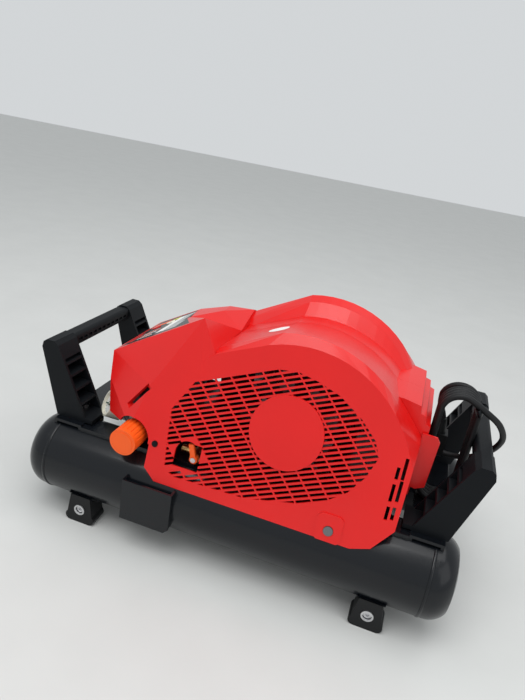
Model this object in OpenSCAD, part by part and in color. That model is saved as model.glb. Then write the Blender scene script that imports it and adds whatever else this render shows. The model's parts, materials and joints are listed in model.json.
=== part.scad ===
// Portable twin-tank air compressor. Millimetres, Z up, X along the tanks, front side at -Y.
// The origin is on the ground, under the middle of the frame.

/* [Air tanks] */
// Outer radius of each tank
tank_r = 54; // [50:0.5:56]
// Wall of each tank
tank_wall = 2.5; // [2:0.5:4]
// Distance of each tank's axis from the middle
tank_y = 106; // [104:1:110]
// Height of the tank axes
tank_z = 78; // [76:1:80]
// Half the length of a tank, over its dished ends
tank_half = 298; // [290:1:302]
/* [Cover] */
// Lean of the front face from upright, in degrees
front_lean = 15; // [12:1:18]
// Distance of the cover's foot from the middle
cover_foot_y = 151; // [148:1:154]
// Height of the cover's foot
cover_foot_z = 109; // [107:1:112]
// Wall of the cover mouldings
cover_wall = 3; // [2:0.5:4]
// Pitch of the grille's slats
slat_pitch = 6.5; // [6:0.1:9]
// Pitch of the grille's ribs
rib_pitch = 19.8; // [16:0.1:26]
/* [Motor and pump] */
// Crankshaft axis, along X
crank_x = 58; // [54:1:62]
// Crankshaft axis, height
crank_z = 214; // [210:1:216]
// Radius of the cooling fan
fan_r = 74; // [60:1:75]
// Throw of the crank
crank_throw = 8; // [6:0.5:9]
// Bore radius of the low pressure cylinder
low_pressure_bore_r = 26; // [20:1:28]
// Bore radius of the high pressure cylinder
high_pressure_bore_r = 13; // [10:1:16]
/* [Handles] */
// Outer face of each handle leg from the middle
leg_y = 115; // [112:1:118]
// Thickness of a handle leg, front to back
leg_t = 42; // [38:1:44]
// Height of the grip's centre
grip_z = 234; // [228:1:236]
// Grip's centre along X
grip_x = 287; // [284:1:288]
/* [Feet] */
// Foot position along X
foot_x = 206; // [180:1:210]
// Height of the foot screws
foot_screw_z = 22; // [20:1:24]
/* [Cord] */
// Diameter of the mains cord
cord_d = 8; // [7:0.5:9]

/* [Hidden] */

$fn = 64;
e = 0.01;

black_paint = [0.05, 0.05, 0.07];
bare_steel = [0.72, 0.72, 0.74];
casting = [0.62, 0.63, 0.65];
cover_red = [0.9, 0.07, 0.06];
knob_orange = [0.98, 0.32, 0.06];
rubber_black = [0.03, 0.03, 0.03];
brass = [0.75, 0.6, 0.3];
cream = [0.85, 0.83, 0.74];

end_len = 36;
knuckle_r = 30;
dome_r = 150;
tube_half = tank_half - end_len;
tank_top = tank_z + tank_r;
rail_t = 3;
deck_z = tank_top + 0.05 + rail_t;
seam_y = -5;
leg_foot_z = 137;
post_x0 = 228;
post_x1 = 270;

// ---- shared helpers ----
// Children drawn at x > 0 appear on both sides of the YZ plane.
module both_ends() {
    children();
    mirror([1, 0, 0]) children();
}
// Children drawn at y < 0 appear on both sides of the XZ plane.
module both_sides() {
    children();
    mirror([0, 1, 0]) children();
}
// A cylinder along X, from x0 to x1.
module rod_x(x0, x1, r, y, z) {
    translate([x0, y, z]) rotate([0, 90, 0]) cylinder(r = r, h = x1 - x0);
}
// A cylinder along Y, from y0 to y1.
module rod_y(y0, y1, r, x, z) {
    translate([x, y1, z]) rotate([90, 0, 0]) cylinder(r = r, h = y1 - y0);
}
// A box given by its two corners.
module block(a, b) {
    translate(a) cube(b - a);
}
// A rectangle centred on the origin, with round corners of radius r.
module round_rect(w, h, r) {
    square([w - 2 * r, h], center = true);
    square([w, h - 2 * r], center = true);
    for (sx = [-1, 1], sy = [-1, 1])
        translate([sx * (w / 2 - r), sy * (h / 2 - r)]) circle(r = r);
}
// A prism along Y from y0 to y1, of a shape drawn in X and Z.
module prism_y(y0, y1) {
    translate([0, y1, 0]) rotate([90, 0, 0]) linear_extrude(y1 - y0) children();
}
// Points along a smooth curve through p, n to each stretch.
function along(p, n) = concat([for (i = [0 : len(p) - 2], k = [0 : n - 1]) let (t = k / n,
    a = p[max(i - 1, 0)], b = p[i], c = p[i + 1], d = p[min(i + 2, len(p) - 1)])
    0.5 * (2 * b + (c - a) * t + (2 * a - 5 * b + 4 * c - d) * t * t + (3 * b - a - 3 * c + d) * t * t * t)],
    [p[len(p) - 1]]);
function side_of(d) = let (s = cross(d, [0, 1, 0.2])) s / norm(s);
// A round tube of radius r along a curve through p, with 10 sides.
module tube(p, n, r) {
    line = along(p, n);
    sides = 10;
    last = len(line) - 1;
    rings = [for (i = [0 : last]) let (d = line[min(i + 1, last)] - line[max(i - 1, 0)],
        s = side_of(d / norm(d)), u = cross(s, d / norm(d))) for (k = [0 : sides - 1])
        line[i] + r * (s * cos(360 * k / sides) + u * sin(360 * k / sides))];
    polyhedron(rings, concat([[for (k = [0 : sides - 1]) k]],
        [for (i = [0 : last - 1], k = [0 : sides - 1], f = [0, 1]) f == 0
            ? [i * sides + k, (i + 1) * sides + k, (i + 1) * sides + (k + 1) % sides]
            : [i * sides + k, (i + 1) * sides + (k + 1) % sides, i * sides + (k + 1) % sides]],
        [[for (k = [sides - 1 : -1 : 0]) last * sides + k]]));
}
module tank_bodies(r) {
    for (s = [-1, 1]) rod_x(-tank_half - 10, tank_half + 10, r, s * tank_y, tank_z);
}
function arc(cx, cy, r, a0, a1, n) =
    [for (i = [0 : n]) [cx + r * cos(a0 + (a1 - a0) * i / n), cy + r * sin(a0 + (a1 - a0) * i / n)]];

// ---- tanks ----
module tank_tube() {
    difference() {
        rod_x(-tube_half, tube_half, tank_r, 0, tank_z);
        rod_x(-tube_half - 1, tube_half + 1, tank_r - tank_wall, 0, tank_z);
    }
}
// Half section of a dished end: a straight flange, a knuckle and a shallow dome.
module end_section(t) {
    intersection() {
        union() {
            square([tank_r - t, end_len - knuckle_r]);
            translate([tank_r - knuckle_r, end_len - knuckle_r]) circle(r = knuckle_r - t);
            square([tank_r - knuckle_r, end_len - t]);
        }
        translate([0, end_len - dome_r]) circle(r = dome_r - t, $fn = 200);
        square([tank_r, end_len]);
    }
}
module dished_end() {
    translate([tube_half, 0, tank_z]) rotate([0, 90, 0]) rotate_extrude() difference() {
        end_section(0);
        translate([0, -e]) end_section(tank_wall);
    }
}
module front_tank_shell() color(black_paint) translate([0, -tank_y, 0]) tank_tube();
module rear_tank_shell() color(black_paint) translate([0, tank_y, 0]) tank_tube();
module tank_ends() color(black_paint) both_sides() translate([0, -tank_y, 0]) both_ends() dished_end();

// ---- frame ----
// A channel that bridges the tanks under a handle, open below in the middle for hoses.
module crossmember() {
    plate = 4;
    difference() {
        union() {
            block([post_x0, -125, leg_foot_z - plate], [post_x1, 125, leg_foot_z]);
            for (x = [post_x0, post_x1 - plate])
                block([x, -125, 112], [x + plate, 125, leg_foot_z - plate + e]);
        }
        tank_bodies(tank_r + 0.05);
        block([post_x0 - 5, -66, 100], [post_x1 + 5, 66, 125]);
        both_sides() for (y = [-103, -84]) translate([249, y, leg_foot_z - 6]) cylinder(r = 3.3, h = 8);
    }
}
module left_crossmember() color(black_paint) mirror([1, 0, 0]) crossmember();
module right_crossmember() color(black_paint) crossmember();
// A strip along a tank's crown that carries the deck and the cover's foot.
module rail() {
    difference() {
        union() {
            block([-post_x0, -126, tank_top + 0.05], [post_x0, -96.5, deck_z]);
            block([-post_x0, -126, 120], [post_x0, -123.5, deck_z - e]);
        }
        tank_bodies(tank_r + 0.05);
        for (x = [-180, -60, 60, 180]) translate([x, -101, tank_top - 1]) cylinder(r = 3, h = 8);
    }
}
// A welded pad between the front tank and the cover's foot, tapped for the tab's screw.
module screw_pad() difference() {
    on_front(cover_wall + 0.3, 22) translate(tab_screw) square(16, center = true);
    on_front(0, 24) translate(tab_screw) circle(r = 3.05);
    tank_bodies(tank_r + 0.05);
}
module tank_rails() color(black_paint) {
    both_sides() rail();
    screw_pad();
}
module deck_plate() color(black_paint) difference() {
    block([-185, -96, tank_top + 0.05], [200, 96, deck_z]);
    translate([-152, 0, tank_top - 1]) cylinder(r = 10, h = 8);
    for (x = [14, 102], y = [-58, 58]) translate([x, y, tank_top - 1]) cylinder(r = 4, h = 8);
}
// A box-shaped plate that stands off each tank's side on two cheeks.
module tank_bracket() {
    x0 = -137;
    x1 = -66;
    difference() {
        union() {
            difference() {
                block([x0, -166, 46], [x1, -163, 107]);
                translate([x1, -165, 46]) rotate([0, 45, 0]) cube([9, 10, 9], center = true);
            }
            for (x = [x0, x1 - 3]) block([x, -163, 54], [x + 3, -140, 107]);
            block([x0 + 3, -163, 54], [x1 - 3, -150, 57]);
        }
        tank_bodies(tank_r + 0.05);
    }
}
module tank_brackets() color(black_paint) both_sides() tank_bracket();

// ---- handles ----
function leg_outline() = [[226, leg_foot_z], [273, leg_foot_z], [300, grip_z], [298, grip_z + 8],
    [293, grip_z + 12], [281, grip_z + 12], [275, grip_z + 7]];
// One leg is a channel that opens inwards, with cross ribs; it leans outwards.
module handle_leg() {
    wall = 4;
    difference() {
        union() {
            prism_y(-leg_y, -leg_y + leg_t) polygon(leg_outline());
            block([217, -leg_y, leg_foot_z], [240, -leg_y + leg_t, leg_foot_z + 6]);
        }
        difference() {
            prism_y(-leg_y + wall, -leg_y + leg_t - wall)
                polygon([[210, leg_foot_z + 6], [264, leg_foot_z + 6], [284, 222], [262, 222]]);
            for (z = [160, 179, 198, 214]) block([200, -leg_y, z], [300, 0, z + 3]);
        }
        translate([249, -103, leg_foot_z - 1]) cylinder(r = 3.3, h = 8);
        translate([249, -84, leg_foot_z - 1]) cylinder(r = 3.3, h = 8);
        tank_bodies(tank_r + 0.3);
    }
}
// The bar between the legs, with a row of shallow pockets in its inner face.
module grip() {
    half = leg_y - leg_t;
    difference() {
        translate([grip_x, half, grip_z]) rotate([90, 0, 0]) linear_extrude(2 * half)
            round_rect(22, 20, 6);
        for (i = [-5 : 5])
            block([grip_x - 12, i * 12 - 4, grip_z - 2], [grip_x - 9, i * 12 + 4, grip_z + 2]);
    }
}
// The left legs' feet are notched for the gauges.
module left_handle_legs() color(black_paint) difference() {
    mirror([1, 0, 0]) both_sides() handle_leg();
    both_sides() gauge_place() translate([0, 0, -21.5]) cylinder(r = gauge_r + 1.2, h = 25);
}
module right_handle_legs() color(black_paint) both_sides() handle_leg();
module left_grip() color(black_paint) mirror([1, 0, 0]) grip();
module right_grip() color(black_paint) grip();
// Bolts up through the crossmembers into the legs' floors.
module handle_bolts() color(bare_steel) both_ends() both_sides() for (y = [-103, -84])
    translate([249, y, leg_foot_z - 4]) {
        cylinder(r = 3, h = 12);
        translate([0, 0, 10]) cylinder(r = 5.5, h = 4);
    }

// ---- feet ----
module at_feet() both_ends() both_sides() translate([foot_x, 0, 0]) children();
// A saddle strip welded round the tank's underside, with a tab for the foot's screw.
module foot_brackets() color(black_paint) at_feet() difference() {
    union() {
        intersection() {
            rod_x(-18, 18, tank_r + 2.5, -tank_y, tank_z);
            block([-20, -160, 14], [20, -92, 46]);
        }
        block([-16, -124, 9], [16, -121, 40]);
    }
    rod_x(-60, 60, tank_r + 0.05, -tank_y, tank_z);
    rod_y(-130, -115, 3.2, 0, foot_screw_z);
}
// A rubber block, wider and round at its base, held by one screw from the front.
module rubber_feet() color(rubber_black) at_feet() difference() {
    prism_y(-152.5, -124.2) difference() {
        union() {
            polygon([[-20, 8], [20, 8], [15, 44], [-15, 44]]);
            for (s = [-1, 1]) translate([s * 14, 8]) circle(r = 8);
            translate([-14, 0]) square([28, 10]);
        }
    }
    rod_x(-60, 60, tank_r + 2.8, -tank_y, tank_z);
    rod_y(-153, -124, 3.3, 0, foot_screw_z);
    rod_y(-153, -146, 5.8, 0, foot_screw_z);
}
// Socket screws, each in a cup washer.
module foot_screws() color(bare_steel) at_feet() {
    difference() {
        rod_y(-154, -152.5, 8, 0, foot_screw_z);
        rod_y(-155, -152, 5.8, 0, foot_screw_z);
    }
    difference() {
        union() {
            rod_y(-151.5, -146, 5.5, 0, foot_screw_z);
            rod_y(-146, -117, 3, 0, foot_screw_z);
        }
        translate([0, -149, foot_screw_z]) rotate([90, 0, 0]) cylinder(r = 2.6, h = 4, $fn = 6);
    }
}

// ---- motor and pump ----
module vibration_mounts() color(rubber_black) for (x = [14, 102], y = [-58, 58])
    translate([x, y, deck_z]) {
        cylinder(r = 9, h = 12);
        translate([0, 0, -5]) cylinder(r = 3.5, h = 6);
    }
case_y0 = -10;
case_y1 = 60;
case_half = 38;
case_floor = deck_z + 12;
module crankcase() color(casting) difference() {
    union() {
        block([crank_x - case_half, case_y0, crank_z - 44], [crank_x + case_half, case_y1, crank_z + 44]);
        block([4, -66, case_floor], [112, 66, case_floor + 6]);
        block([crank_x - 30, case_y0, case_floor + 5], [crank_x + 30, case_y1, crank_z - 40]);
    }
    block([crank_x - 32, case_y0 + 8, crank_z - 38], [crank_x + 32, case_y1 + 1, crank_z + 38]);
    rod_y(case_y0 - 1, case_y0 + 9, 14, crank_x, crank_z);
    rod_x(crank_x, crank_x + 60, low_pressure_bore_r + 3.05, 25, crank_z);
    rod_x(crank_x - 60, crank_x, high_pressure_bore_r + 3.05, 25, crank_z);
}
module crankcase_cover() color(casting) difference() {
    union() {
        block([crank_x - case_half, case_y1, crank_z - 44], [crank_x + case_half, case_y1 + 4, crank_z + 44]);
        rod_y(case_y1 - 10, case_y1 + 1, 20, crank_x, crank_z);
    }
    rod_y(case_y1 - 11, case_y1 - 1, 14, crank_x, crank_z);
}
// The stator is a laminated ring with winding heads at both faces.
module motor_stator() color(casting) difference() {
    union() {
        rod_y(-78, -14, 54, crank_x, crank_z);
        for (a = [45 : 90 : 315]) translate([crank_x, 0, crank_z]) rotate([0, a, 0])
            rod_y(-70, case_y0, 5, 53, 0);
        block([crank_x - 34, -66, case_floor + 6], [crank_x + 34, -22, crank_z - 45]);
    }
    rod_y(-79, -13, 34, crank_x, crank_z);
}
module motor_rotor() color(bare_steel) difference() {
    rod_y(-72, -20, 33, crank_x, crank_z);
    rod_y(-73, -19, 8, crank_x, crank_z);
}
// Main journals on one axis, with an overhung throw and its pin between two webs.
module crankshaft() color(bare_steel) {
    rod_y(-98, 8, 7.95, crank_x, crank_z);
    rod_y(42, 57, 7.95, crank_x, crank_z);
    for (y = [8, 36]) hull() {
        rod_y(y, y + 6, 11, crank_x, crank_z, $fn = 32);
        rod_y(y, y + 6, 9, crank_x, crank_z + crank_throw, $fn = 32);
    }
    rod_y(13, 37, 5, crank_x, crank_z + crank_throw);
}
module shaft_bearings() color(bare_steel) for (y = [[-9.5, -2.5], [case_y1 - 10, case_y1 - 3]]) difference() {
    rod_y(y[0], y[1], 14, crank_x, crank_z);
    rod_y(y[0] - 1, y[1] + 1, 8, crank_x, crank_z);
}
module cooling_fan() color(black_paint) difference() {
    union() {
        rod_y(-97, -80, 18, crank_x, crank_z);
        for (a = [0 : 45 : 315]) translate([crank_x, -88.5, crank_z]) rotate([0, a, 0])
            translate([0, 0, 15]) rotate([0, 0, 32]) translate([-11, -1, 0]) cube([22, 2, fan_r - 16]);
    }
    rod_y(-99, -79, 7.95, crank_x, crank_z);
}
// A finned barrel along X with its bore at r, reaching from the crankcase to x1.
module finned_barrel(x0, x1, bore, fins) difference() {
    union() {
        rod_x(x0, x1, bore + 3, 25, crank_z);
        for (i = [0 : fins - 1]) rod_x(crank_x + case_half + 1 + i * 7, crank_x + case_half + 3.5 + i * 7,
            bore + 11, 25, crank_z);
    }
    rod_x(x0 - 1, x1 + 1, bore, 25, crank_z);
}
module pump_head(x0, r) {
    difference() {
        rod_x(x0, x0 + 16, r, 25, crank_z);
        rod_x(x0 - 1, x0 + 10, r - 9, 25, crank_z);
    }
    for (y = [-0.6, 0.6], z = [-0.6, 0.6]) rod_x(x0 + 16 - e, x0 + 19, 4, 25 + y * r, crank_z + z * r);
}
// A piston with its rod; the rod ends short of the crank's circle.
module piston(r, x1) {
    rod_x(x1 - 12, x1, r - 0.05, 25, crank_z);
    rod_x(crank_x + 27, x1 - 11, 5, 25, crank_z);
    rod_x(crank_x + 26, crank_x + 30, 9, 25, crank_z);
}
barrel_end = crank_x + case_half + 32;
module mirrored_pump() translate([2 * crank_x, 0, 0]) mirror([1, 0, 0]) children();
module low_pressure_cylinder() color(casting) finned_barrel(crank_x + 33, barrel_end, low_pressure_bore_r, 4);
module low_pressure_piston() color(casting) piston(low_pressure_bore_r, barrel_end - 12);
module high_pressure_cylinder() color(casting) mirrored_pump()
    finned_barrel(crank_x + 33, barrel_end, high_pressure_bore_r, 4);
module pump_heads() color(casting) {
    pump_head(barrel_end, low_pressure_bore_r + 12);
    mirrored_pump() pump_head(barrel_end, high_pressure_bore_r + 12);
}
module high_pressure_piston() color(casting) mirrored_pump() piston(high_pressure_bore_r, barrel_end - 12);
// From the low pressure head, over the crankcase, down to the high pressure head.
module intercooler_pipe() color(brass) tube([[barrel_end + 8, 25, crank_z + low_pressure_bore_r + 12.1],
    [barrel_end + 8, 25, crank_z + 50], [barrel_end, 25, crank_z + 66], [barrel_end - 20, 25, crank_z + 74],
    [crank_x, 25, crank_z + 75], [2 * crank_x - barrel_end + 20, 25, crank_z + 72],
    [2 * crank_x - barrel_end, 25, crank_z + 60], [2 * crank_x - barrel_end - 8, 25, crank_z + 44],
    [2 * crank_x - barrel_end - 8, 25, crank_z + high_pressure_bore_r + 12.1]], 3, 5);
module intake_filter() color(black_paint) difference() {
    rod_x(152, 184, 17, 35, 230);
    rod_x(176, 185, 13, 35, 230);
}
module control_box() color(black_paint) block([-70, 67.5, deck_z + 0.2], [130, 88, 215]);

// ---- cover ----
// Draws children, given as x and distance up the slope, on the front face, from d0 to d1 deep.
module on_front(d0, d1) {
    translate([0, -cover_foot_y, cover_foot_z]) rotate([90 - front_lean, 0, 0])
        translate([0, 0, -d1]) linear_extrude(d1 - d0) children();
}
arch_x = 58;
// Outlines shrink by t for the inner faces.
function front_face_outline(t) = let (low = t > 0 ? -40 : 0) concat(
    [[-119 + t, 16 + low], [-100, low], [158, low - 2], [187 - t, low + 8], [209 - t, 38], [210 - t, 116]],
    arc(62, 72, 151 - t, 22, 111, 14), [[-57, 184 - t], [-112 + t, 130]]);
function arch_outline(t, r, centre_z, left_z) = concat(
    [[-119 + t, 109 - 30 * sign(t)], [212 - t, 109 - 30 * sign(t)], [212 - t, 236]],
    arc(arch_x - 1, centre_z, r - t, 22, 104, 14), [[-57, left_z - t], [-119 + t, left_z - 40]]);
module front_hood(t) hull() {
    on_front(t, t + 0.2) polygon(front_face_outline(t));
    prism_y(-85 + t, -84 + t) polygon(arch_outline(t, 150.5, 185, 290));
    prism_y(seam_y - 1 + sign(t), seam_y - 0.1 + 2 * sign(t)) polygon(arch_outline(t, 150, 176, 286));
}
module rear_face(t) mirror([0, 1, 0]) on_front(t, t + 0.2) polygon(front_face_outline(t));
module rear_body(t) hull() {
    prism_y(seam_y + 0.1 - 2 * sign(t), seam_y + 1 - sign(t)) polygon(arch_outline(t, 150, 176, 286));
    prism_y(62 - t, 63 - t) polygon(arch_outline(t, 150, 176, 286));
    rear_face(t);
}
module rear_arch(t) hull() {
    prism_y(22, 23) polygon(arch_outline(t, 146, 176, 284));
    prism_y(42 + t, 43 + t) polygon(arch_outline(t, 142, 201, 296));
    prism_y(57 - t / 2, 57.5 - t / 2) polygon(arch_outline(t, 147.5, 202, 301));
    mirror([0, 1, 0]) on_front(t + 0.6, t + 0.9) polygon(front_face_outline(t + 0.9));
}
// Corner points of the left wing, front half; the panel's slope is its upper left face.
front_peak = [[-80, -93, 326]];
rear_peak = [[-140, -54, 286], [-98, -40, 298], [-98, -66, 298], [-60, -66, 302]];
function wing_corners() = [[-150, -135.5, 166], [-133, -119.6, 226], [-198, -102, 160],
    [-206, -92, 205], [-214, -74, 238], [-214, seam_y - 0.1, 238], [-198, seam_y - 0.1, 160],
    [-138, seam_y - 0.1, 287], [-57, seam_y - 0.1, 288], [-57, -102, 288], [-57, -133, 176],
    [-57, seam_y - 0.1, 160], [-118, -139, 152]];
// The inner corners open the wing's underside and its side towards the hood.
function inward(p, t) = let (c = [-110, seam_y, 215], q = p + 1.45 * t * (c - p) / norm(c - p))
    t == 0 ? p : [p.x > -60 && p.z < 280 ? -40 : q.x, q.y, p.z < 180 ? p.z - 25 : q.z];
module wing(t, peak = front_peak) hull() for (p = concat(wing_corners(), peak))
    translate(inward(p, t) + [0, sign(t) * 1.5, 0]) cube(0.2, center = true);
module rear_wing(t) translate([0, 2 * seam_y, 0]) mirror([0, 1, 0]) wing(t, rear_peak);
// Stepped shoulder on the right, in three treads.
module shoulder(t) {
    prism_y(-62 + t, 62 - t) polygon([[150, 150], [216 - t, 150], [220 - t, 196], [219 - t, 252 - t],
        [213 - t, 254 - t], [211 - t, 264 - t], [204 - t, 266 - t], [202 - t, 276 - t], [180, 280 - t],
        [150, 280 - t]]);
}
// Everything that both halves of the cover leave clear.
module cover_clearance() {
    tank_bodies(tank_r + 0.4);
    block([-240, -200, 60], [240, 200, 108.8]);
    block([-240, -127.5, 60], [240, 127.5, deck_z + 0.3]);
    rod_y(-170, -100, 27, -146, 153);
    block([-173, -170, 100], [-117, -100, 153]);
    block([-240, -200, 100], [-119.2, 200, 160]);
    rod_y(90, 170, 27, -146, 153);
    block([-173, 90, 100], [-117, 170, 153]);
    gauge_place() translate([0, 0, -40]) cylinder(r = gauge_r + 2, h = 60);
    mirror([0, 1, 0]) gauge_place() translate([0, 0, -40]) cylinder(r = gauge_r + 2, h = 60);
    on_panel() translate([0, 0, -1.6]) linear_extrude(4) polygon(panel_outline());
    on_panel() for (x = button_u) translate([x, button_v, -8]) cylinder(r = button_r + 1, h = 12);
}
// Grille opening in the front face.
function grille_outline() = [[-76, 148], [-102, 100], [-99, 60], [-94, 18], [-78, 11], [22, 14], [90, 30],
    [127, 47], [148, 64], [165, 90], [174, 118], [165, 137], [143, 158], [110, 179], [79, 189], [52, 194],
    [24, 190], [-20, 174]];
tab_centre = [134, 16];
tab_screw = [134, 13];
side_screw = [-109, 49];
vent_rows = [[201, 100, 27], [201.5, 73, 26], [201.5, 50, 16], [194, 99, 15], [194, 71, 22], [194.5, 48, 17]];
module front_cover() color(cover_red) difference() {
    union() {
        difference() {
            union() {
                front_hood(0);
                wing(0);
                intersection() {
                    shoulder(0);
                    block([140, -100, 100], [240, seam_y - 0.1, 300]);
                }
            }
            front_hood(cover_wall);
            wing(cover_wall);
            shoulder(cover_wall);
        }
        on_front(-2, 2) translate(tab_centre) round_rect(33, 36, 8);
    }
    cover_clearance();
    on_front(-5, 30) polygon(grille_outline());
    for (v = vent_rows) on_front(-5, 8) translate([v[0] - 2, v[1]]) square([4, v[2]]);
    on_front(-5, 9) translate(tab_screw) circle(r = 3.3);
    on_front(-5, 0) translate(tab_screw) circle(r = 6.5);
    on_front(-5, 9) translate(side_screw) circle(r = 4.2);
    translate([-150, -126, 207]) rotate([0, -58, -28]) cube([44, 34, 8], center = true);
}
slat_angle = 23.8;
rib_angle = 132.1;
slat_w = 2.8;
rib_w = 1.8;
function unit(a) = [cos(a), sin(a)];
function cross2(a, b) = a.x * b.y - a.y * b.x;
// Depth of p inside a counter-clockwise outline, from its nearest edge line.
function depth_in(p, pts) = min([for (i = [0 : len(pts) - 1]) let (a = pts[i], b = pts[(i + 1) % len(pts)])
    cross2((b - a) / norm(b - a), p - a)]);
// Corner of the grid's cell (i, j), shifted by the half widths of slat and rib.
function cell_corner(i, j, si, sj) = let (skew = abs(sin(rib_angle - slat_angle)),
    u = (j * slat_pitch + sj * (slat_pitch - slat_w) / 2) / skew,
    v = (i * rib_pitch + si * (rib_pitch - rib_w) / 2) / skew)
    [36, 104] + v * unit(slat_angle) + u * unit(rib_angle);
function cell(i, j) = [for (c = [[-1, -1], [1, -1], [1, 1], [-1, 1]]) cell_corner(i, j, c[0], c[1])];
lever_pivot = [-56, 39];
disc_centre = [55, 114];
disc_r = 47;
grille_middle = [36, 104];
grille_inset = [for (p = grille_outline()) grille_middle + 0.965 * (p - grille_middle)];
module lever_window() {
    translate([-63, 49]) circle(r = 17);
    translate([-80, 29]) square([35, 20]);
    translate([-62, 29]) square([17, 35]);
}
// A cell is cut if it lies in the louvred field, and clipped where it crosses the field's edge.
function cell_depth(c) = [for (p = c) depth_in(p, grille_inset)];
function near_window(c) = max([for (p = c) max(abs(p.x + 62.5) - 23, abs(p.y - 47) - 23)]) < 5;
function cell_is_open(c) = max(cell_depth(c)) > 0.8 && !near_window(c)
    && max([for (p = c) norm(p - disc_centre)]) > disc_r;
// The louvred plate of the front cover, with its plain round boss and the lever's window.
module front_grille() color(cover_red) {
    difference() {
        on_front(0, cover_wall) polygon(grille_outline());
        for (i = [-8 : 8], j = [-24 : 24]) if (cell_is_open(cell(i, j)))
            if (min(cell_depth(cell(i, j))) > 0) on_front(-2, 6) polygon(cell(i, j));
            else on_front(-2, 6) intersection() {
                polygon(cell(i, j));
                polygon(grille_inset);
            }
        on_front(-2, 6) lever_window();
    }
    on_front(-2, cover_wall) translate(disc_centre) circle(r = disc_r);
}
module rear_cover() color(cover_red) difference() {
    union() {
        rear_body(0);
        rear_arch(0);
        rear_wing(0);
        intersection() {
            shoulder(0);
            block([140, seam_y + 0.1, 100], [240, 100, 300]);
        }
    }
    rear_body(cover_wall);
    rear_arch(cover_wall);
    rear_wing(cover_wall);
    shoulder(cover_wall);
    cover_clearance();
    for (z = [150 : 12 : 246], x = [-60, 20, 100]) block([x, 80, z], [x + 68, 160, z + 5]);
    rod_x(200, 230, 8, 40, 170);
}
// A flange on the right side that keeps the cord off the front, with a short lip.
module cord_guard() color(cover_red) {
    prism_y(-66, -63) polygon([[212.3, 166], [222, 164], [233, 170], [235, 236], [231, 242], [212.3, 243]]);
    prism_y(-63.01, -59) polygon([[230, 172], [233, 172], [234.9, 234], [232, 234]]);
}
module cover_screws() color(bare_steel) {
    on_front(-1, 5) translate(tab_screw) circle(r = 3);
    on_front(-3, -0.9) translate(tab_screw) circle(r = 6);
    on_front(-0.5, 8) translate(side_screw) circle(r = 3.8);
}

// ---- control panel on the wing's slope ----
panel_slope = atan2(287 - 238, 214 - 138);
module on_panel() translate([-214, 0, 238]) rotate([0, -panel_slope, 0]) children();
function panel_outline() = [[6, -66], [132, -84], [96, -20], [86, 40], [6, 58]];
button_u = [26, 52];
button_v = 8;
button_r = 7;
module control_panel() color(rubber_black) difference() {
    on_panel() translate([0, 0, -1.5]) linear_extrude(1.5) polygon(panel_outline());
    on_panel() for (u = button_u) translate([u, button_v, -3]) cylinder(r = button_r + 0.3, h = 6);
}
module panel_button(u) on_panel() translate([u, button_v, -5]) cylinder(r = button_r, h = 6.5);
module power_button() color(cover_red) panel_button(button_u[0]);
module mode_button() color(cream) panel_button(button_u[1]);

// ---- air side ----
module air_manifold() color(casting) difference() {
    union() {
        block([-176, -48, 86], [-128, 48, 112]);
        for (s = [-1, 1]) rod_y(min(s * 48, s * 58), max(s * 48, s * 58), 10, -147, 122);
    }
    rod_y(-60, 60, 6, -152, 98);
}
module regulator() {
    rod_y(-119, -62, 15, -147, 154);
    rod_y(-90, -70, 18, -147, 154);
    rod_y(-126, -118.9, 4, -147, 154);
    block([-157, -86, deck_z + 0.2], [-137, -68, 145]);
}
module regulators() color(casting) both_sides() regulator();
// Fluted hand knob on the regulator's axis.
module knob() {
    difference() {
        rod_y(-155, -120, 18.4, -147, 154);
        rod_y(-127, -119, 4.05, -147, 154);
        for (a = [0 : 20 : 340]) translate([-147, 0, 154]) rotate([0, a, 0]) rod_y(-150, -119, 1.6, 18.9, 0);
    }
}
module high_pressure_knob() color(knob_orange) knob();
module normal_pressure_knob() color(black_paint) mirror([0, 1, 0]) knob();
gauge_r = 19.7;
gauge_az = 221;
gauge_up = 23;
module gauge_place() translate([-214, -78, 156]) rotate([0, 90 - gauge_up, gauge_az]) children();
// A can with a rim that stands proud of the dial, and its stem.
module gauge() {
    difference() {
        translate([0, 0, -20]) cylinder(r = gauge_r, h = 22);
        translate([0, 0, -3]) cylinder(r = gauge_r - 2.6, h = 6);
    }
    translate([0, 0, -3.01]) cylinder(r = 1.4, h = 3);
}
module needle() {
    translate([0, 0, -1.2]) difference() {
        union() {
            cylinder(r = 3, h = 1);
            rotate([0, 0, 205]) translate([-1, -4, 0]) cube([2, 18, 0.8]);
        }
        translate([0, 0, -1]) cylinder(r = 1.45, h = 3);
    }
}
// A gauge on an arm from a small post on the deck.
module gauge_on_post() {
    gauge_place() gauge();
    rod_x(-204, -176, 5, -66, 148);
    block([-184, -71, deck_z + 0.05], [-176, -61, 150]);
}
module front_gauge() color(cream) gauge_on_post();
module front_needle() color("black") gauge_place() needle();
module rear_gauge() color(cream) mirror([0, 1, 0]) gauge_on_post();
module rear_needle() color("black") mirror([0, 1, 0]) gauge_place() needle();
// Four quick couplers side by side on the manifold, facing the left end.
coupler_y = [-39, -13, 13, 39];
module couplers() color(brass) for (y = coupler_y) difference() {
    rod_x(-206, -176.05, 8, y, 99);
    rod_x(-207, -185, 5, y, 99);
}
// A coupler's sleeve slides back towards the manifold to free the hose plug.
module sleeve(i) color(bare_steel) difference() {
    rod_x(-201, -187, 11.5, coupler_y[i], 99);
    rod_x(-202, -186, 8.3, coupler_y[i], 99);
}
module high_pressure_sleeve_a() sleeve(0);
module high_pressure_sleeve_b() sleeve(1);
module normal_pressure_sleeve_a() sleeve(2);
module normal_pressure_sleeve_b() sleeve(3);
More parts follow.
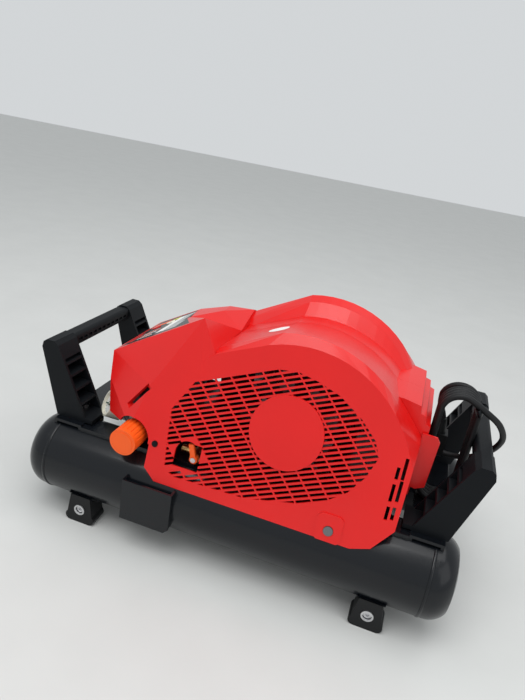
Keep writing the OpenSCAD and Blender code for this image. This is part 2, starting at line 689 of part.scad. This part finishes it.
// A sealed relief valve that stands on the manifold, through the deck's opening.
module safety_valve() color(brass) {
    translate([-152, 0, 112.05]) cylinder(r = 7, h = 14);
    translate([-152, 0, 126]) cylinder(r = 4.5, h = 14);
}
module drain_valve() color(brass) {
    pivot_z = cover_foot_z + lever_pivot.y * cos(front_lean);
    rod_y(-127.5, -108, 7, lever_pivot.x, pivot_z);
    rod_y(-133, -127, 3, lever_pivot.x, pivot_z);
    rod_x(lever_pivot.x - 24, lever_pivot.x, 5, -112, pivot_z);
}
// A quarter-turn lever on the drain valve's stem, upright when shut.
module drain_lever() color(knob_orange) {
    pivot_z = cover_foot_z + lever_pivot.y * cos(front_lean);
    difference() {
        union() {
            rod_y(-133, -128, 5.5, lever_pivot.x, pivot_z);
            translate([lever_pivot.x, -133, pivot_z]) rotate([0, -14, 0])
                translate([-3.5, 0.5, 4]) cube([7, 4, 18]);
        }
        rod_y(-134, -127, 3.06, lever_pivot.x, pivot_z);
    }
}

// ---- mains cord ----
// The cord leaves the cover's right side, rises round the grip's outer side and joins the hank.
gland_y = 40;
gland_z = 170;
cord_route = [[240, 40, 170], [252, 40, 170], [269, 37, 172], [287, 29, 181], [303, 18, 199],
    [311.5, 4, 220], [311, -14, 243], [299, -29, 265], [279, -40, 281], [271, -43, 286]];
hank_y0 = -48;
hank_y1 = -8;
hank_top = [249, 272, 27];
hank_foot = [249, leg_foot_z + 27.1, 27];
module cord_lead() color(rubber_black) tube(cord_route, 2, cord_d / 2);
// A collar through the cover's wall, with a tapered strain relief outside it.
module cord_gland() color(rubber_black) difference() {
    union() {
        rod_x(206, 219.6, 7.6, gland_y, gland_z);
        translate([219.5, gland_y, gland_z]) rotate([0, 90, 0]) cylinder(r1 = 9.5, r2 = 6, h = 32.5);
    }
    rod_x(240, 253, cord_d / 2 + 0.05, gland_y, gland_z);
}
// Outer shape of the folded turns: a round top and a round foot, joined by their tangents.
function hank_outline() = let (d = [hank_foot.x - hank_top.x, hank_foot.y - hank_top.y],
    lean = atan2(d.y, d.x), open = acos((hank_top.z - hank_foot.z) / norm(d)))
    [for (s = [-1, 1], c = s < 0 ? [hank_top, hank_foot] : [hank_foot, hank_top])
        [c.x + c.z * cos(lean + s * open), c.y + c.z * sin(lean + s * open)]];
// The rest of the cord, folded into a hank that stands on the crossmember beside the grip.
module cord_hank() color(rubber_black) prism_y(hank_y0, hank_y1) {
    polygon(hank_outline());
    for (c = [hank_top, hank_foot]) translate([c.x, c.y]) circle(r = c.z);
}
// A moulded plug strapped to the hank's rear side, pins down.
module plug() color(rubber_black) {
    block([224, hank_y1 + 0.05, 190], [248, 14, 220]);
    translate([236, 3, 219.99]) cylinder(r1 = 9, r2 = 5.5, h = 20);
    for (x = [229.5, 241]) block([x, 0, 173], [x + 1.5, 6.3, 190.01]);
}

front_tank_shell();
rear_tank_shell();
tank_ends();
left_crossmember();
right_crossmember();
tank_rails();
deck_plate();
tank_brackets();
left_handle_legs();
left_grip();
right_handle_legs();
right_grip();
handle_bolts();
foot_brackets();
rubber_feet();
foot_screws();
vibration_mounts();
crankcase();
crankcase_cover();
motor_stator();
motor_rotor();
crankshaft();
shaft_bearings();
cooling_fan();
low_pressure_cylinder();
low_pressure_piston();
high_pressure_cylinder();
high_pressure_piston();
pump_heads();
intercooler_pipe();
intake_filter();
control_box();
front_cover();
front_grille();
rear_cover();
cord_guard();
cover_screws();
control_panel();
power_button();
mode_button();
air_manifold();
regulators();
high_pressure_knob();
normal_pressure_knob();
front_gauge();
front_needle();
rear_gauge();
rear_needle();
couplers();
high_pressure_sleeve_a();
high_pressure_sleeve_b();
normal_pressure_sleeve_a();
normal_pressure_sleeve_b();
safety_valve();
drain_valve();
drain_lever();
cord_gland();
cord_lead();
cord_hank();
plug();
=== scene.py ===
"""Portable twin-tank air compressor on a pale floor, in the CAD model's frame.

Lengths on the object are millimetres, which mm() and MM turn to metres. Those of the stage are metres.
"""
import json
import math

import bmesh
import bpy
from mathutils import Matrix, Vector


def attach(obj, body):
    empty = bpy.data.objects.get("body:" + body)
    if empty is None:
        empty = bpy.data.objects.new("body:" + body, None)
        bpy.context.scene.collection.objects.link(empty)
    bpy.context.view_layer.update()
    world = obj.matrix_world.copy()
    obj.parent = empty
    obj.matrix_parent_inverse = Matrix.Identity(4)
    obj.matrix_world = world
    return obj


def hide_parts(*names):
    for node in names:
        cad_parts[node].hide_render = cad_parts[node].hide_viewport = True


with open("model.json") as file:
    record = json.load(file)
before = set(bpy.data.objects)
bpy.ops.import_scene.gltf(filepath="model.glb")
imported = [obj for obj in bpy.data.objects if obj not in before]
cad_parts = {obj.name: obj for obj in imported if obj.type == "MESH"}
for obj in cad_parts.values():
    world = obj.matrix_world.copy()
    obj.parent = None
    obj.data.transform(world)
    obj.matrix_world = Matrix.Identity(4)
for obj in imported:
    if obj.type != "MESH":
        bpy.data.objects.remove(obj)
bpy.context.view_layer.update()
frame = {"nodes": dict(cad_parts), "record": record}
NODES = frame["nodes"]
MM = 0.001

# The object's own measures.
TANK_R, TANK_Y, TANK_Z = 54, 106, 78
TANK_SEAM_X = 262
COVER_FOOT_Y, COVER_FOOT_Z, COVER_LEAN = -151, 109, math.radians(15)
KNOB_X, KNOB_Z = -147, 154
GAUGE_AT, GAUGE_TURN, GAUGE_LEAN = (-214, -78, 156), math.radians(221), math.radians(67)
PANEL_FOOT, PANEL_TOP = (-214, 238), (-138, 287)


def mm(*p):
    return Vector(p) * MM


# ---- camera ----
CAMERA_AT = (162.84, -734.54, 573.58)
CAMERA_LENS = 29.81
CAMERA_AXES = ((0.9391, 0.3047, 0.1593), (-0.2576, 0.3168, 0.9129), (0.2277, -0.8982, 0.3760))


def place_camera():
    """The camera's axes are its right, its up and the way back from the object."""
    data = bpy.data.cameras.new("camera")
    data.lens = CAMERA_LENS
    data.sensor_width = 36
    data.clip_start = 0.01
    cam = bpy.data.objects.new("camera", data)
    turn = Matrix(CAMERA_AXES).transposed().to_4x4()
    cam.matrix_world = Matrix.Translation(mm(*CAMERA_AT)) @ turn
    bpy.context.scene.collection.objects.link(cam)
    bpy.context.scene.camera = cam


# ---- materials ----
def material(name, colour, rough, metal=0.0, coat=0.0, spec=0.5, shade=0.12, grain=240, bump=0.05, streak=1):
    """A Principled finish whose colour and gloss drift with noise, over a fine grain."""
    m = bpy.data.materials.new(name)
    m.use_nodes = True
    tree = m.node_tree
    link = tree.links.new
    shader = tree.nodes["Principled BSDF"]
    shader.inputs["Metallic"].default_value = metal
    shader.inputs["Specular IOR Level"].default_value = spec
    shader.inputs["Coat Weight"].default_value = coat
    shader.inputs["Coat Roughness"].default_value = 0.08
    place = tree.nodes.new("ShaderNodeTexCoord")
    stretch = tree.nodes.new("ShaderNodeMapping")
    stretch.inputs["Scale"].default_value = (1.0, 1.0, streak)
    link(place.outputs["Object"], stretch.inputs["Vector"])
    broad = tree.nodes.new("ShaderNodeTexNoise")
    broad.inputs["Scale"].default_value = 9.0
    broad.inputs["Detail"].default_value = 5.0
    fine = tree.nodes.new("ShaderNodeTexNoise")
    fine.inputs["Scale"].default_value = grain
    fine.inputs["Detail"].default_value = 3.0
    for n in (broad, fine):
        link(stretch.outputs["Vector"], n.inputs["Vector"])
    ramp = tree.nodes.new("ShaderNodeValToRGB")
    for i, k in ((0, 1 - shade), (1, 1 + shade)):
        ramp.color_ramp.elements[i].color = (*[min(1.0, c * k) for c in colour], 1)
        ramp.color_ramp.elements[i].position = 0.3 + 0.4 * i
    link(broad.outputs["Fac"], ramp.inputs["Fac"])
    link(ramp.outputs["Color"], shader.inputs["Base Color"])
    gloss = tree.nodes.new("ShaderNodeMapRange")
    gloss.inputs["To Min"].default_value = rough * 0.8
    gloss.inputs["To Max"].default_value = min(1.0, rough * 1.25)
    link(fine.outputs["Fac"], gloss.inputs["Value"])
    link(gloss.outputs["Result"], shader.inputs["Roughness"])
    lift = tree.nodes.new("ShaderNodeBump")
    lift.inputs["Strength"].default_value = bump
    lift.inputs["Distance"].default_value = 0.0004
    link(fine.outputs["Fac"], lift.inputs["Height"])
    link(lift.outputs["Normal"], shader.inputs["Normal"])
    return m


FINISH = {
    "black_paint": material("black_paint", (0.004, 0.0052, 0.0072), 0.24, coat=0.1, spec=0.3, bump=0.04),
    "black_plastic": material("black_plastic", (0.004, 0.0052, 0.0068), 0.5, spec=0.16, grain=900, bump=0.18),
    "bare_steel": material("bare_steel", (0.62, 0.62, 0.63), 0.28, metal=1.0, streak=6),
    "dark_steel": material("dark_steel", (0.2, 0.2, 0.21), 0.4, metal=1.0),
    "black_rubber": material("black_rubber", (0.005, 0.0055, 0.0062), 0.5, spec=0.3, grain=700, bump=0.15),
    "cast_alloy": material("cast_alloy", (0.3, 0.31, 0.33), 0.5, metal=0.8, grain=500, bump=0.3),
    "red_plastic": material("red_plastic", (0.68, 0.006, 0.005), 0.32, coat=0.12, spec=0.4, shade=0.05),
    "orange_plastic": material("orange_plastic", (0.9, 0.11, 0.01), 0.4, spec=0.35, shade=0.05, bump=0.04),
    "brass_metal": material("brass_metal", (0.72, 0.5, 0.2), 0.28, metal=1.0, streak=4),
    "cream_plastic": material("cream_plastic", (0.75, 0.72, 0.6), 0.35, shade=0.04),
    "gauge_hand": material("gauge_hand", (0.01, 0.06, 0.04), 0.5),
    "panel_face": material("panel_face", (0.008, 0.008, 0.01), 0.3, spec=0.3),
    "white": material("white", (0.85, 0.85, 0.83), 0.4, shade=0.02),
    "grey": material("grey", (0.42, 0.43, 0.43), 0.45, spec=0.3, shade=0.04),
    "yellow": material("yellow", (0.62, 0.56, 0.05), 0.45, spec=0.3, shade=0.05),
    "floor": material("floor", (0.62, 0.625, 0.61), 0.62, shade=0.02, grain=60, bump=0.02),
}


def dress(obj, finish, body=None):
    """Give obj one finish and, if it rides on a body, that body."""
    obj.data.materials.clear()
    obj.data.materials.append(FINISH[finish])
    if body:
        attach(obj, body)
    return obj


def add_mesh(name, verts, faces, finish, body, smooth=False):
    mesh = bpy.data.meshes.new(name)
    mesh.from_pydata([tuple(v) for v in verts], [], faces)
    mesh.validate()
    for p in mesh.polygons:
        p.use_smooth = smooth
    obj = bpy.data.objects.new(name, mesh)
    bpy.context.scene.collection.objects.link(obj)
    return dress(obj, finish, body)


def add_disc(name, at, turn, r, depth, finish, body, sides=64, bevel=0.0):
    """A short cylinder that stands on the point at, along turn's Z."""
    bm = bmesh.new()
    bmesh.ops.create_cone(bm, cap_ends=True, segments=sides, radius1=r * MM, radius2=r * MM, depth=depth * MM)
    if bevel:
        rim = [e for e in bm.edges if abs(e.verts[0].co.z - e.verts[1].co.z) < 1e-9]
        bmesh.ops.bevel(bm, geom=rim, offset=bevel * MM, segments=2, affect="EDGES")
    place = Matrix.Translation(at) @ turn.to_4x4() @ Matrix.Translation((0, 0, depth * MM / 2))
    bmesh.ops.transform(bm, matrix=place, verts=bm.verts)
    mesh = bpy.data.meshes.new(name)
    bm.to_mesh(mesh)
    bm.free()
    obj = bpy.data.objects.new(name, mesh)
    bpy.context.scene.collection.objects.link(obj)
    return dress(obj, finish, body)


def add_slab(name, place, low, high, finish, body):
    """A box from low to high in millimetres, drawn in the frame place."""
    v = [place @ mm(x, y, z) for x in (low[0], high[0]) for y in (low[1], high[1]) for z in (low[2], high[2])]
    faces = [(0, 1, 3, 2), (4, 6, 7, 5), (0, 4, 5, 1), (2, 3, 7, 6), (0, 2, 6, 4), (1, 5, 7, 3)]
    return add_mesh(name, v, faces, finish, body)


# ---- cord ----
CORD_D = 8.0
TURNS = 5
PITCH = 8.0
FIRST_Y = -44.0
HALF_STACK = PITCH * (TURNS - 1) / 2
# The free stretch, from the gland round the grip to the hank.
LEAD = [(240, 40, 170), (252, 40, 170), (269, 37, 172), (287, 29, 181), (303, 18, 199), (311.5, 4, 220),
        (311, -14, 243), (299, -29, 265), (279, -40, 281)]
# The last stretch, from the hank down into the plug.
TAIL = [(228, 3, 258), (233, 3, 248), (236, 3, 240)]
# X and Z of the middles of the hank's round top and foot, and the radius of a turn's centre line there.
TOP = (249, 272)
FOOT = (249, 164.1)
TURN_R = 27 - CORD_D / 2 - 0.2
STRAIGHT_Z = (200, 240)
PLUG_SWING = 14


def smooth_line(points, n):
    """Catmull-Rom points through points, n to a stretch."""
    out = []
    for i in range(len(points) - 1):
        a, b, c, d = (Vector(points[max(0, min(len(points) - 1, j))]) for j in (i - 1, i, i + 1, i + 2))
        for k in range(n):
            t = k / n
            bend = (2 * a - 5 * b + 4 * c - d) * t**2
            out.append(0.5 * (2 * b + (c - a) * t + bend + (3 * b - a - 3 * c + d) * t**3))
    return out + [Vector(points[-1])]


def arc(centre, y, start, stop, rise=0.0):
    """Points round centre from start to stop degrees, moving to the rear by rise each half turn."""
    out = []
    for a in range(start, stop + 1, 15):
        t = math.radians(a)
        back = y + rise * (a - start) / 180
        out.append(Vector((centre[0] + TURN_R * math.cos(t), back, centre[1] + TURN_R * math.sin(t))))
    return out


def hank_turns():
    """Long turns side by side, each one pitch further to the rear. The last swings over to the plug."""
    line = []
    for turn in range(TURNS - 1):
        y = FIRST_Y + PITCH * turn
        line += arc(TOP, y, 60 if turn == 0 else 0, 180)
        line += [Vector((TOP[0] - TURN_R, y, z)) for z in reversed(STRAIGHT_Z)]
        line += arc(FOOT, y, 180, 360, PITCH)
        line += [Vector((FOOT[0] + TURN_R, y + PITCH, z)) for z in STRAIGHT_Z]
    last = arc(TOP, FIRST_Y + PITCH * (TURNS - 1), 0, 180)
    for i, p in enumerate(last):
        p.y += PLUG_SWING * (i / (len(last) - 1)) ** 1.5
    return line + last


def add_cord():
    """The whole cord as one curve, in place of the CAD lead and hank."""
    line = smooth_line(LEAD + [tuple(p) for p in hank_turns()] + TAIL, 4)
    curve = bpy.data.curves.new("mains_cord", "CURVE")
    curve.dimensions = "3D"
    curve.bevel_depth = CORD_D / 2 * MM
    curve.bevel_resolution = 6
    curve.use_fill_caps = True
    spline = curve.splines.new("POLY")
    spline.points.add(len(line) - 1)
    for point, p in zip(spline.points, line):
        point.co = (*(p * MM), 1)
    obj = bpy.data.objects.new("mains_cord", curve)
    bpy.context.scene.collection.objects.link(obj)
    dress(obj, "black_rubber", "frame")
    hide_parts("cord_lead", "cord_hank")


def add_tie():
    """A strap round the upper right of the hank, through its eye."""
    sides, half_width, place = 32, 5, math.radians(20)
    verts, faces = [], []
    centre = Vector((TOP[0], FIRST_Y + HALF_STACK, TOP[1]))
    for edge in (-half_width, half_width):
        t = place + edge / TURN_R
        out = Vector((math.cos(t), 0, math.sin(t)))
        for r in (CORD_D / 2 + 0.7, CORD_D / 2 - 0.1):
            for k in range(sides):
                a = 2 * math.pi * k / sides
                u, v = r * math.cos(a), (r + HALF_STACK) * math.sin(a)
                verts.append((centre + out * (TURN_R + u) + Vector((0, v, 0))) * MM)
    for k in range(sides):
        j = (k + 1) % sides
        outer, inner, far_outer, far_inner = (n * sides for n in range(4))
        faces += [(outer + k, outer + j, far_outer + j, far_outer + k),
                  (inner + k, far_inner + k, far_inner + j, inner + j),
                  (outer + k, inner + k, inner + j, outer + j),
                  (far_outer + k, far_outer + j, far_inner + j, far_inner + k)]
    add_mesh("cord_tie", verts, faces, "black_plastic", "frame", smooth=True)


# ---- CAD nodes that stay ----
SHARP = math.radians(28)
EDGE = 0.35
# Nodes whose edges have a width of their own, and those that are left as they are.
BEVEL = {"front_cover": 1.6, "rear_cover": 1.6, "cord_guard": 0.8, "front_grille": 0.25, "deck_plate": 0.5,
         "tank_rails": 0.6, "left_handle_legs": 1.6, "right_handle_legs": 1.6, "rubber_feet": 1.2,
         "tank_brackets": 0.6, "control_panel": 0.4}
NO_BEVEL = ("front_tank_shell", "rear_tank_shell", "tank_ends", "left_grip", "right_grip")


def dress_cad():
    """Finish each CAD node, smooth it between sharp edges and soften those."""
    slots = {s["node"]: s["material_slot"] for s in frame["record"]["subparts"]}
    for name, obj in NODES.items():
        dress(obj, "dark_steel" if name == "cover_screws" else slots[name])
        for p in obj.data.polygons:
            p.use_smooth = True
        obj.data.set_sharp_from_angle(angle=SHARP)
        if name not in NO_BEVEL:
            bevel = obj.modifiers.new("edges", "BEVEL")
            bevel.width = BEVEL.get(name, EDGE) * MM
            bevel.segments = 3
            bevel.limit_method = "ANGLE"
            bevel.angle_limit = SHARP
            bevel.harden_normals = True


# ---- details ----
def add_welds():
    """The bead where each dished end meets its tube."""
    around, across = 96, 8
    bead_width, bead_height, bead_r = 2.2, 1.1, TANK_R - 0.1
    verts, faces = [], []
    for x in (-TANK_SEAM_X, TANK_SEAM_X):
        for y in (-TANK_Y, TANK_Y):
            base = len(verts)
            for i in range(around):
                a = 2 * math.pi * i / around
                this, following = base + i * across, base + (i + 1) % around * across
                for j in range(across):
                    b = 2 * math.pi * j / across
                    r = bead_r + bead_height * math.cos(b)
                    along = x + bead_width * math.sin(b)
                    verts.append(mm(along, y + r * math.cos(a), TANK_Z + r * math.sin(a)))
                    k = (j + 1) % across
                    faces.append((this + j, following + j, following + k, this + k))
    add_mesh("tank_welds", verts, faces, "black_paint", "frame", smooth=True)


def gauge_frame(side):
    """The dial's frame: Z out of the face. side is -1 in front and 1 at the rear."""
    place = Matrix.Translation(mm(*GAUGE_AT)) @ Matrix.Rotation(GAUGE_TURN, 4, "Z")
    place = place @ Matrix.Rotation(GAUGE_LEAN, 4, "Y")
    return place if side < 0 else Matrix.Diagonal((1, -1, 1, 1)) @ place


def add_dial(name, side):
    """A white dial under the needle, with a long mark at every third of its 19 marks."""
    place = gauge_frame(side)
    dial_r, dial_low, dial_top = 16.9, -2.98, -2.58
    mark_r, mark_half, mark_top = 15.6, 0.3, -2.46
    add_disc(name + "_dial", place @ mm(0, 0, dial_low), place.to_3x3(), dial_r, dial_top - dial_low, "white",
             "frame")
    for i in range(19):
        tick = place @ Matrix.Rotation(math.radians(-45 + 15 * i), 4, "Z")
        long = 4.2 if i % 3 == 0 else 2.4
        add_slab(f"{name}_tick_{i}", tick, (mark_r - long, -mark_half, dial_top),
                 (mark_r, mark_half, mark_top), "gauge_hand", "frame")


# Each plain field on the panel: its name, its low and high corners up the slope and across, its finish.
PANEL_FIELDS = [("field_grey", (72, -58), (94, -22), "grey"),
                ("field_white", (58, -52), (71, 30), "white"),
                ("field_red", (10, -52), (18, -12), "red_plastic"),
                ("field_orange", (10, 22), (40, 36), "orange_plastic"),
                ("field_yellow", (44, 22), (57, 36), "yellow"),
                ("field_grey_far", (72, -20), (86, 32), "grey")]


def add_panel_art():
    """Plain coloured fields and marks in place of the panel's print."""
    low, top = -0.02, 0.15
    slope = math.atan2(PANEL_TOP[1] - PANEL_FOOT[1], PANEL_TOP[0] - PANEL_FOOT[0])
    place = Matrix.Translation(mm(PANEL_FOOT[0], 0, PANEL_FOOT[1])) @ Matrix.Rotation(-slope, 4, "Y")
    for name, near, far, finish in PANEL_FIELDS:
        add_slab("panel_" + name, place, (*near, low), (*far, top), finish, "frame")
    for i in range(6):
        start, across = 24, -50 + 7 * i
        end = start + 26 - 5 * (i % 2)
        add_slab(f"panel_line_{i}", place, (start, across, low), (end, across + 3, top),
                 ("white", "orange_plastic", "grey")[i % 3], "frame")


def add_sticker():
    """A round sticker laid on the hood's top, square to it there."""
    cover = NODES["front_cover"]
    toward = cover.matrix_world.inverted()
    above = mm(6, -47, 400)
    hit, at, normal, _ = cover.ray_cast(toward @ above, Vector((0, 0, -1)))
    if not hit:
        raise RuntimeError("no cover under the sticker")
    at = cover.matrix_world @ at
    turn = normal.to_track_quat("Z", "Y").to_matrix()
    add_disc("round_sticker", at + normal * 0.1 * MM, turn, 14, 0.3, "white", "frame", bevel=0.1)


def add_small_faces():
    """The knob's end, the plug in the cover's side hole and the lever's screw."""
    face = Matrix.Rotation(math.radians(90), 3, "X")
    add_disc("knob_face", mm(KNOB_X, -154.9, KNOB_Z), face, 14.5, 0.8, "orange_plastic", "high_pressure_knob",
             bevel=0.3)
    up_slope = 49
    plug_y = COVER_FOOT_Y + up_slope * math.sin(COVER_LEAN) - 0.4
    plug_z = COVER_FOOT_Z + up_slope * math.cos(COVER_LEAN)
    lean = Matrix.Rotation(math.radians(90) - COVER_LEAN, 3, "X")
    add_disc("side_plug", mm(-109, plug_y, plug_z), lean, 4.1, 1.2, "black_plastic", "frame", bevel=0.4)
    add_disc("lever_screw", mm(-56, -132.9, 146.67), face, 3.6, 1.6, "bare_steel", "drain_lever", bevel=0.4)


# ---- stage ----
FLOOR_HALF = 6
AIM = Vector((0, 0, 0.15))
# Each lamp's name, place, size and power in watts.
LAMPS = [("key", (-0.3, -0.9, 2.0), 1.2, 18), ("fill", (1.6, -1.1, 1.3), 1.6, 6.5),
         ("top", (0.5, 0.1, 2.4), 1.6, 14)]


def add_stage():
    """A pale floor under an even sky, with three soft lamps."""
    corners = [(x * FLOOR_HALF, y * FLOOR_HALF, 0) for x, y in ((-1, -1), (1, -1), (1, 1), (-1, 1))]
    floor = add_mesh("floor", corners, [(0, 1, 2, 3)], "floor", None)
    world = bpy.data.worlds.new("world")
    bpy.context.scene.world = world
    world.use_nodes = True
    world.node_tree.nodes["Background"].inputs["Color"].default_value = (0.9, 0.93, 0.95, 1)
    world.node_tree.nodes["Background"].inputs["Strength"].default_value = 0.72
    for name, at, size, power in LAMPS:
        data = bpy.data.lights.new(name, "AREA")
        data.size = size
        data.energy = power
        lamp = bpy.data.objects.new(name, data)
        lamp.location = at
        lamp.rotation_euler = (AIM - Vector(at)).to_track_quat("-Z", "Y").to_euler()
        bpy.context.scene.collection.objects.link(lamp)
    bpy.context.scene.view_settings.view_transform = "Standard"


place_camera()
add_cord()
add_tie()
dress_cad()
add_welds()
add_dial("front_gauge", -1)
add_dial("rear_gauge", 1)
add_panel_art()
add_sticker()
add_small_faces()
add_stage()
bpy.context.view_layer.update()
